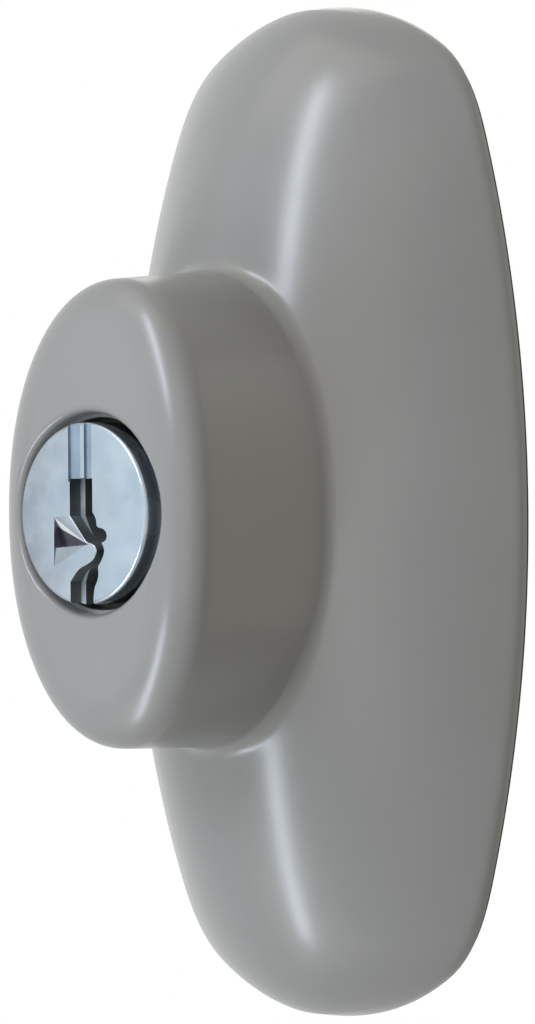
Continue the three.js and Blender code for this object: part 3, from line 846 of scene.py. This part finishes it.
def cast_escutcheon():
    """The casting, painted from the recess's land to the middle of its rear face."""
    bare_bore = 3
    columns, painted = zip(*(escutcheon_column(k) for k in range(AROUND)))
    rings = across(columns)
    bands = [0 if bare_bore <= band < painted[0] else 1 for band in range(len(rings))]
    piece = shaped("cast_escutcheon", skin(rings, closed=True, finishes=bands), [STONE, CASTING])
    columns = []
    for side in (-1, 1):
        pillar, post = side * CLAMP_SCREW_REACH, side * POST_REACH
        columns.append(casting_column(2.4, pillar, CYLINDER_REAR, hole=1.45, hole_depth=5.3, pitch=0.5))
        columns.append(casting_column(3.5, post, 5.0, hole=2.1, hole_depth=10.0, pitch=0.7))
    worked(piece, columns, "UNION")
    placed(piece, "escutcheon", crease=38.0)


# Gasket


def rubber_gasket():
    outer, middle, inner, thick = 0.4, 1.35, 2.3, 0.6
    corner = [(0.12, 0.0), (0.04, 0.04), (0.0, 0.12)]
    section = [(outer + side, up - thick) for side, up in corner] + [(outer, -thick / 2)]
    section += [(outer + side, -up) for side, up in reversed(corner)] + [(middle, 0.0)]
    section += [(inner - side, -up) for side, up in corner]
    section += [(inner - side, up - thick) for side, up in reversed(corner)] + [(middle, -thick)]
    rings = []
    for inset, y in section:
        outline = [outline_point(k / AROUND, inset) for k in range(AROUND)]
        rings.append([(x, y, z) for x, z in outline])
    piece = shaped("rubber_gasket", skin(rings, closed=True), [RUBBER])
    placed(piece, "gasket", crease=40.0)


# Key plug, its keyway and the pick-up notch; its materials are numbered in this order

FACE, SLOT_WALL, MILLED, HIGHLIT_BAND, SHADED_FACET, MOUTH_STEP = range(6)

# How far in front of the plug's face its cutters start
CUTTER_AHEAD = 0.3


def softened(points):
    """Cuts the corners of an open line twice over, until it runs in curves."""
    for _ in range(2):
        cut = [points[0]]
        for (ax, az), (bx, bz) in zip(points, points[1:]):
            cut.append((0.75 * ax + 0.25 * bx, 0.75 * az + 0.25 * bz))
            cut.append((0.25 * ax + 0.75 * bx, 0.25 * az + 0.75 * bz))
        points = cut + [points[-1]]
    return points


def keyway_outline(left):
    """The keyway's section: a straight slot, a round-nosed ward and the bend that passes it."""
    nose = [(left, -0.12), (-0.13, -1.46), (0.36, -2.02), (0.91, -2.11), (1.3, -2.34), (1.43, -2.66)]
    nose += [(1.24, -3.06), (0.85, -3.38), (0.29, -3.64), (-0.49, -3.9), (left, -4.85)]
    bend = [(1.04, -7.6), (1.04, -5.4), (1.5, -4.68), (1.59, -4.19), (1.5, -3.74), (1.89, -3.32)]
    bend += [(2.21, -2.73), (2.11, -2.31), (1.86, -2.02), (2.37, -1.88), (2.5, -1.5), (2.21, -1.1)]
    bend += [(1.4, -1.0), (1.4, -0.39), (1.0, 0.1)]
    points = [(left, 2.5), (left, 0.5)] + softened(nose) + [(left, -7.6)]
    return points + softened(bend) + [(1.0, 2.5)]


def grown_outline(points, grown):
    """Every corner moves out along the mean of its two sides' normals."""
    moved = []
    for k, here in enumerate(map(Vector, points)):
        first = (here - Vector(points[k - 1])).normalized()
        second = (Vector(points[(k + 1) % len(points)]) - here).normalized()
        normal = Vector((-(first.y + second.y), first.x + second.x)).normalized()
        spread = max(normal.dot(Vector((-first.y, first.x))), 0.6)
        moved.append(tuple(here - normal * grown / spread))
    return moved


def keyway_tool(y_to, left, floor):
    """A cutter with the keyway's section, its edges broken where it leaves the face."""
    outline = keyway_outline(left)
    broken = 0.05
    levels = [(broken, PLUG_FACE - CUTTER_AHEAD), (broken, PLUG_FACE)]
    levels += [(0.0, PLUG_FACE + broken), (0.0, y_to)]
    rings = [[(x, y, z) for x, z in grown_outline(outline, grown)] for grown, y in levels]
    bm = skin(rings, finishes=[FACE, FACE, SLOT_WALL])
    return marked(bm, floor, lambda middle: middle.y > y_to - 0.01)


def groove_tool(left, right):
    """A shallow groove in the face, above the keyway, with sloping sides."""
    deep, bottom, top = 0.16, 2.3, 7.5
    spread = 0.2 * (deep + CUTTER_AHEAD)
    rings = []
    for low, high, y in (
        (left, right, PLUG_FACE + deep),
        (left - spread, right + spread, PLUG_FACE - CUTTER_AHEAD),
    ):
        rings.append([(low, y, bottom), (high, y, bottom), (high, y, top), (low, y, top)])
    return marked(skin(rings), MILLED)


def notch_tool():
    """The pick-up notch left of the ward: facets that run out to a point in its nose.

    The section lists height and depth along the wide end; it begins and ends before the face. The
    downward facet and the end caps take dark nickel as painted shade, and two narrow bands bright
    nickel as painted highlight.
    """
    section = [(0.6, -CUTTER_AHEAD), (-0.9, 0.24), (-2.2, 0.56), (-2.42, 0.13), (-4.0, -0.02)]
    section.append((-4.0, -CUTTER_AHEAD))
    # The highlit bands are painted highlight, the shaded facet painted shade.
    finishes = [HIGHLIT_BAND, SHADED_FACET, HIGHLIT_BAND, MOUTH_STEP, FACE, FACE]
    tip_x, tip_z, tip_size = 0.62, -2.2, 0.02
    wide, tip = [], []
    for z, deep in section:
        wide.append((-3.02 + 0.5 * max(deep, 0.0), PLUG_FACE + deep, z))
        tip.append((tip_x, PLUG_FACE - 0.02 + deep * tip_size, tip_z + (z - tip_z) * tip_size))
    bm = skin([wide, tip])
    middles = []
    for (z, deep), (next_z, next_deep) in zip(section, section[1:] + section[:1]):
        middles.append(Vector((PLUG_FACE + (deep + next_deep) / 2, (z + next_z) / 2)))
    for face in bm.faces:
        if len(face.verts) == len(section):
            face.material_index = SHADED_FACET
            continue
        edge = [v.co for v in face.verts if v.co.x < 0]
        middle = sum(edge, Vector()) / len(edge)
        nearest = min(range(len(middles)), key=lambda k: (middles[k] - middle.yz).length)
        face.material_index = finishes[nearest]
    return bm


def chamber(node, profile):
    """A cutter for a pin's chamber, on the line of that pin."""
    low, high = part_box(node)
    cutter = turned(profile, count=HOLE_AROUND, axis="Z")
    return move(cutter, y=(low.y + high.y) / 2 / MM)


def turned_plug():
    edge, chamfer, corner = PLUG_HEAD_ROUND, 0.15, 0.1
    profile = [(0, PLUG_FACE), (3.2, PLUG_FACE), (PLUG_HEAD - edge, PLUG_FACE)]
    for degrees in (18, 36, 54, 72, 90):
        angle = math.radians(degrees)
        fall = edge * (1 - math.cos(angle))
        profile.append((PLUG_HEAD - edge + edge * math.sin(angle), PLUG_FACE + fall))
    profile += [
        (PLUG_HEAD, PLUG_HEAD_BACK - chamfer),
        (PLUG_HEAD - chamfer, PLUG_HEAD_BACK),
        (PLUG_BODY, PLUG_HEAD_BACK),
        (PLUG_BODY, CYLINDER_REAR - corner),
        (PLUG_BODY - corner, CYLINDER_REAR),
        (PLUG_GROOVE, CYLINDER_REAR),
        (PLUG_GROOVE, GROOVE_REAR),
        (PLUG_BODY - corner, GROOVE_REAR),
        (PLUG_BODY, GROOVE_REAR + corner),
        (PLUG_BODY, PLUG_REAR - chamfer),
        (PLUG_BODY - chamfer, PLUG_REAR),
        (0, PLUG_REAR),
    ]
    finishes = [NICKEL, SHADED_KEYWAY, MILLED_NICKEL, HIGHLIT_EDGE_NICKEL, FACET_SHADE_NICKEL, STEP]
    piece = shaped("turned_key_plug", turned(profile, count=PLUG_AROUND), finishes)
    tools = [
        keyway_tool(PLUG_FACE + MOUTH_DEPTH, left=-1.35, floor=MOUTH_STEP),
        keyway_tool(CYLINDER_REAR, left=-0.85, floor=SLOT_WALL),
        groove_tool(left=-1.4, right=-0.2),
        groove_tool(left=0.25, right=0.95),
        notch_tool(),
    ]
    floor, top = -0.25, 7.5
    profile = [(0, floor), (CHAMBER, floor), (CHAMBER, top), (0, top)]
    tools += [chamber(f"key_pin_{number}", profile) for number in PINS]
    tools.append(block((-1.8, TAIL_SLOT_FRONT, -4.8), (1.8, 0, 4.8)))
    profile = [(0, -4.9), (1.05, -4.9), (1.05, -2.12), (1.25, -1.9), (0, -1.9)]
    for x in (-TAIL_SCREW_REACH, TAIL_SCREW_REACH):
        tools.append(move(turned(profile, count=HOLE_AROUND), x=x))
    worked(piece, tools)
    placed(piece, "key_plug", crease=24.0)


# Cylinder shell, its cap, the pins and their springs


def brass_shell():
    half, top, corner, barrel_radius = 3.2, 13.7, 0.5, 7.7
    meet = math.degrees(math.asin(half / barrel_radius))
    outline = [(half, top - corner), (half - corner, top), (corner - half, top), (-half, top - corner)]
    outline += arc((0, 0), barrel_radius, 90 + meet, 450 - meet, 120)
    barrel = stamping(outline, CYLINDER_FRONT, CYLINDER_REAR)
    # The shell's front face, seen down the gap round the plug, takes the near-black painted shade.
    marked(barrel, 1, lambda middle: middle.y < CYLINDER_FRONT + 0.01)
    piece = shaped("brass_cylinder_shell", barrel, [SHELL_BRASS, GAP_SHADE_BRASS])
    past = 1.0
    tools = [drill(6.3, CYLINDER_FRONT, CYLINDER_REAR, 0.2, count=BORE_AROUND, past=past)]
    profile = [(0, 1), (CHAMBER, 1), (CHAMBER, 12.85), (CHAMBER + 0.25, 13.1), (0, 13.1)]
    tools += [chamber(f"driver_pin_{number}", profile) for number in PINS]
    tools.append(block((-2.6, CYLINDER_FRONT - past, 13.0), (2.6, CYLINDER_REAR + past, 14.5)))
    worked(piece, tools)
    placed(piece, "cylinder_shell")


def brass_cap():
    low, high = (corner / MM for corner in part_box("chamber_cap"))
    piece = shaped("brass_chamber_cap", block(low, high, 0.12), [SHELL_BRASS])
    placed(piece, "chamber_cap")


def turned_pin(node, foot, head):
    """A pin from its foot's profile, and its head's, whose places count from the pin's top."""
    low, high = (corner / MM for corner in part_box(node))
    top = high.z - low.z
    profile = foot + [(radius, top - below) for radius, below in head]
    bm = move(turned(profile, count=PIN_AROUND, axis="Z"), y=(low.y + high.y) / 2, z=low.z)
    placed(shaped(f"turned_{node}", bm, [PIN_BRASS]), node)


def key_pin(number):
    foot = [(0, 0), (0.36, 0), (0.45, 0.07), (1.19, 0.73), (PIN_RADIUS, 0.84)]
    turned_pin(f"key_pin_{number}", foot, [(PIN_RADIUS, 0.14), (1.21, 0.05), (1.11, 0), (0, 0)])


def driver_pin(number):
    foot = [(0, 0), (1.15, 0), (1.23, 0.04), (PIN_RADIUS, 0.12)]
    turned_pin(f"driver_pin_{number}", foot, [(PIN_RADIUS, 0.28), (1.2, 0.14), (1.02, 0), (0, 0)])


def driver_spring(number):
    """A coil spring of one unbroken wire, whose end turns lie closer together."""
    node = f"driver_spring_{number}"
    low, high = (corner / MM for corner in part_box(node))
    wire_radius, coil_radius, closer = 0.1, 1.0, 0.045
    turns, steps, sides = 5.0, 40, 10
    bottom, top = low.z + wire_radius, high.z - wire_radius
    middle = (low.y + high.y) / 2
    rings = []
    for k in range(int(turns * steps) + 1):
        share = k / (turns * steps)
        eased = share - closer * math.sin(math.tau * share)
        angle = math.tau * turns * share
        outward = Vector((math.cos(angle), math.sin(angle), 0))
        rise = (top - bottom) * (1 - closer * math.tau * math.cos(math.tau * share))
        along = Vector((-math.sin(angle), math.cos(angle), rise / (math.tau * turns * coil_radius)))
        beside = along.normalized().cross(outward)
        centre = outward * coil_radius + Vector((0, middle, bottom + (top - bottom) * eased))
        ring = []
        for side in range(sides):
            turn = math.tau * side / sides
            ring.append(centre + (outward * math.cos(turn) + beside * math.sin(turn)) * wire_radius)
        rings.append(ring)
    piece = shaped(f"coiled_driver_spring_{number}", skin(rings), [SPRING_STEEL])
    placed(piece, node, crease=50.0)
    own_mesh(piece)


# Clip, tailpiece, retainer, clamp plate and screws


def spring_clip():
    """An open ring, which snaps into the plug's groove."""
    low, high = (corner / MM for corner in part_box("plug_clip"))
    outer, inner, start, end, steps = 6.9, 5.4, -50, 230, 84
    outline = arc((0, 0), outer, start, end, steps) + arc((0, 0), inner, end, start, steps)
    piece = shaped("steel_plug_clip", stamping(outline, low.y, high.y, 0.14), [CLIP_STEEL])
    placed(piece, "plug_clip")


def stamped_tailpiece():
    front, reach, half, tip_half, taper, thick = -3.0, 17.0, 3.0, 1.8, 1.2, 1.6
    outline = [(front, -half), (reach - taper, -half), (reach, -tip_half)]
    outline += [(reach, tip_half), (reach - taper, half), (front, half)]
    blade = pulled([(-thick / 2, y, z) for y, z in outline], (thick, 0, 0))
    piece = shaped("stamped_tailpiece", rounded(blade, blade.edges[:], 0.16, segments=3), [ZINC])
    foot = block((-1.5, front, -4.5), (1.5, PLUG_REAR, 4.5), 0.12)
    worked(piece, [foot], "UNION")
    placed(piece, "tailpiece")


def retainer_disc():
    sides = 96
    outline = arc((0, 0), 5.6, 0, 360 - 360 / sides, sides - 1)
    piece = shaped("retainer_disc", stamping(outline, PLUG_REAR, RETAINER_REAR, 0.14), [ZINC])
    tools = [block((-1.1, -3, -3.3), (1.1, 0, 3.3))]
    for x in (-TAIL_SCREW_REACH, TAIL_SCREW_REACH):
        tools.append(drill(1.05, PLUG_REAR, RETAINER_REAR, 0.1, (x, 0)))
    worked(piece, tools)
    placed(piece, "tail_retainer")


def clamp_plate():
    half, reach, ring = 3.2, CLAMP_SCREW_REACH, 9.2
    meet = math.degrees(math.asin(half / ring))
    outline = []
    for side, turn in ((1, 0), (-1, 180)):
        outline += arc((0, side * reach), half, turn, turn + 180, 28)
        outline += arc((0, 0), ring, turn + 90 + meet, turn + 270 - meet, 60)
    piece = shaped("arm_clamp_plate", stamping(outline, CYLINDER_REAR, CLAMP_REAR, 0.2), [ZINC])
    tools = [drill(7.2, CYLINDER_REAR, CLAMP_REAR, 0.15, count=BORE_AROUND)]
    for z in (-reach, reach):
        tools.append(drill(1.45, CYLINDER_REAR, CLAMP_REAR, 0.12, (0, z)))
    worked(piece, tools)
    placed(piece, "clamp_plate")


def pan_screw(node, name, seat, centre, shank, length, head, height):
    """A pan-head screw with a cross recess and a rolled thread, its head seated at a level."""
    middle = (centre[0] * MM, 0.0, centre[1] * MM)
    greys = ((160, 163, 166), (188, 190, 192))
    material = turned_metal(f"{name}_steel", greys, (0.24, 0.38), middle, rings=7000.0)
    pitch, root, neck, under_head = shank * 0.42, shank * 0.82, shank * 0.9, 0.12
    rise = shank * 0.5 - length
    profile = [(0, -length), (shank * 0.45, -length), (shank * 0.8, rise)]
    while rise + pitch < -0.35:
        profile += [(shank, rise + pitch * 0.5), (root, rise + pitch)]
        rise += pitch
    profile += [(neck, -0.2), (neck, 0), (head - under_head, 0), (head, under_head)]
    side = height * 0.42
    profile.append((head, side))
    for step in range(1, 8):
        angle = math.pi / 2 * step / 8
        reach = head * (0.62 + 0.38 * math.cos(angle))
        profile.append((reach, side + (height - side) * math.sin(angle)))
    profile += [(head * 0.6, height), (0, height)]
    piece = shaped(name, turned(profile), [material])
    arm, half_width = head * 0.56, head * 0.13
    tools = []
    for turn in (0.0, math.pi / 2):
        bm = block((-1, height * 0.35, -1), (1, height + 0.5, 1))
        for vert in bm.verts:
            shorter, narrower = (1.0, 1.0) if vert.co.y > height else (0.62, 0.8)
            vert.co.x *= arm * shorter
            vert.co.z *= half_width * narrower
        bmesh.ops.rotate(bm, verts=bm.verts, cent=(0, 0, 0), matrix=Matrix.Rotation(turn, 3, "Y"))
        tools.append(bm)
    worked(piece, tools)
    piece.data.transform(Matrix.Translation((centre[0], seat, centre[1])))
    placed(piece, node)


cast_escutcheon()
rubber_gasket()
turned_plug()
brass_shell()
brass_cap()
for pin_number in PINS:
    key_pin(pin_number)
    driver_pin(pin_number)
    driver_spring(pin_number)
spring_clip()
stamped_tailpiece()
retainer_disc()
clamp_plate()
for hand, x in (("left", -TAIL_SCREW_REACH), ("right", TAIL_SCREW_REACH)):
    pan_screw(f"tail_screw_{hand}", f"{hand}_tail_screw", RETAINER_REAR, (x, 0.0), **TAIL_SCREW)
for end, z in (("upper", CLAMP_SCREW_REACH), ("lower", -CLAMP_SCREW_REACH)):
    pan_screw(f"clamp_screw_{end}", f"{end}_clamp_screw", CLAMP_REAR, (0.0, z), **CLAMP_SCREW)


# Camera at the photograph's viewing angle, in metres

PHOTO_HEIGHT = 1024
SENSOR_WIDTH = 36
CAMERA_AZIMUTH = math.radians(44.36)
CAMERA_DISTANCE = 0.3
CAMERA_RIGHT = -0.00543
CAMERA_UP = 0.00002
CAMERA_ROLL = math.radians(-0.47)
FOCAL_PIXELS = 3964.0


def photo_camera():
    """The camera, level but for a slight roll, a little beside the lock's middle."""
    data = bpy.data.cameras.new("photo_camera")
    data.lens = FOCAL_PIXELS * SENSOR_WIDTH / PHOTO_HEIGHT
    data.sensor_width = SENSOR_WIDTH
    data.clip_start = 0.01
    data.clip_end = 20
    camera = added("photo_camera", data)
    ahead = Vector((-math.sin(CAMERA_AZIMUTH), math.cos(CAMERA_AZIMUTH), 0))
    right = Vector((math.cos(CAMERA_AZIMUTH), math.sin(CAMERA_AZIMUTH), 0))
    camera.location = -ahead * CAMERA_DISTANCE + right * CAMERA_RIGHT + Vector((0, 0, CAMERA_UP))
    camera.rotation_mode = "QUATERNION"
    level = ahead.to_track_quat("-Z", "Y")
    camera.rotation_quaternion = Matrix.Rotation(-CAMERA_ROLL, 3, ahead).to_quaternion() @ level
    bpy.context.scene.camera = camera


# Lamps, floor and surroundings, in metres

LAMP_DISTANCE = 0.8
FLOOR_SIZE = 3
FLOOR_LEVEL = -0.9
FLOOR_WHITE_SHARE = 0.96


def stand(azimuth, elevation, distance):
    """A place round the lock; azimuth 0 is straight in front, 90 to the right."""
    a, e = math.radians(azimuth), math.radians(elevation)
    return distance * Vector((math.sin(a) * math.cos(e), -math.cos(a) * math.cos(e), math.sin(e)))


def light_bar(name, low, high, width, power, colour):
    """A flat lamp between the places of its two ends, turned towards the lock."""
    middle = (low + high) / 2
    up = (high - low).normalized()
    back = (middle - up * middle.dot(up)).normalized()
    data = bpy.data.lights.new(name, "AREA")
    data.shape = "RECTANGLE"
    data.size = width
    data.size_y = (high - low).length
    data.energy = power
    data.color = colour
    lamp = added(name, data)
    turned_to = Matrix((up.cross(back), up, back)).transposed()
    lamp.matrix_world = Matrix.Translation(middle) @ turned_to.to_4x4()
    lamp.visible_camera = False


def soft_box(name, azimuth, elevation, width, height, power, colour):
    """A broad lamp that faces the lock squarely."""
    middle = stand(azimuth, elevation, LAMP_DISTANCE)
    rise = stand(azimuth, elevation + 90, height / 2)
    light_bar(name, middle - rise, middle + rise, width, power, colour)


def plain_rays(tree):
    """1 for rays from the camera, off shiny metal and through glass, else 0."""
    path = node_of(tree, "LightPath").outputs
    rays = maths(tree, "MAXIMUM", path["Is Camera Ray"], path["Is Glossy Ray"])
    return maths(tree, "MAXIMUM", rays, path["Is Transmission Ray"])


def white_for(tree, share, first, kind, leave):
    """Mixes a shader with pure white by a share, for the output."""
    white = node_of(tree, kind, {"Color": (1, 1, 1, 1), "Strength": 1.0})
    mix = node_of(tree, "MixShader", {0: share, 1: first.outputs[0], 2: white.outputs[0]})
    feed(tree, mix.outputs["Shader"], leave.inputs["Surface"])


def pale_floor():
    """A plain pale floor below the lock; the camera and shiny metal see it as white."""
    bm = bmesh.new()
    bmesh.ops.create_grid(bm, x_segments=1, y_segments=1, size=FLOOR_SIZE)
    floor = shaped("pale_floor", move(bm, z=FLOOR_LEVEL), [])
    material, tree, shader = finish_of("pale_floor_paint")
    feed(tree, seen(236, 236, 235), shader.inputs["Base Color"])
    feed(tree, 0.9, shader.inputs["Roughness"])
    leave = next(n for n in tree.nodes if n.type == "OUTPUT_MATERIAL")
    share = maths(tree, "MULTIPLY", plain_rays(tree), FLOOR_WHITE_SHARE)
    white_for(tree, share, shader, "Emission", leave)
    floor.data.materials.append(material)


def white_surroundings(strength, colour):
    """A soft even light from all round, which the camera and shiny metal see as white."""
    world = bpy.data.worlds.new("white_surroundings")
    world.use_nodes = True
    tree = world.node_tree
    tree.nodes.clear()
    even = node_of(tree, "Background", {"Color": (*colour, 1), "Strength": strength})
    white_for(tree, plain_rays(tree), even, "Background", node_of(tree, "OutputWorld"))
    bpy.context.scene.world = world


photo_camera()
light_bar("upper_strip", stand(9, 20, 0.75), stand(-8, 56, 0.95), 0.07, 2.9, (0.83, 0.89, 1.0))
light_bar("lower_strip", stand(-28, -54, 0.95), stand(0, -18, 0.75), 0.07, 2.75, (0.8, 0.89, 1.0))
# Each soft box's name, azimuth, elevation, width, height, power and colour
for lamp_values in (
    ("front_box", -20, 10, 0.9, 0.9, 1.8, (0.7, 0.86, 1.0)),
    ("right_box", 35, 10, 0.5, 0.9, 0.85, (1.0, 0.88, 0.82)),
    ("top_box", -20, 60, 0.7, 0.5, 1.25, (1.0, 0.9, 0.84)),
    ("low_box", -20, -50, 0.6, 0.5, 0.6, (1.0, 0.86, 0.78)),
    ("behind_box", 150, 5, 0.6, 0.9, 1.1, (1.0, 1.0, 0.84)),
    ("rear_box", 205, 10, 0.6, 0.9, 1.1, (1.0, 1.0, 0.96)),
):
    soft_box(*lamp_values)
pale_floor()
white_surroundings(0.13, (1.0, 0.985, 0.85))
bpy.context.scene.view_settings.view_transform = "Standard"
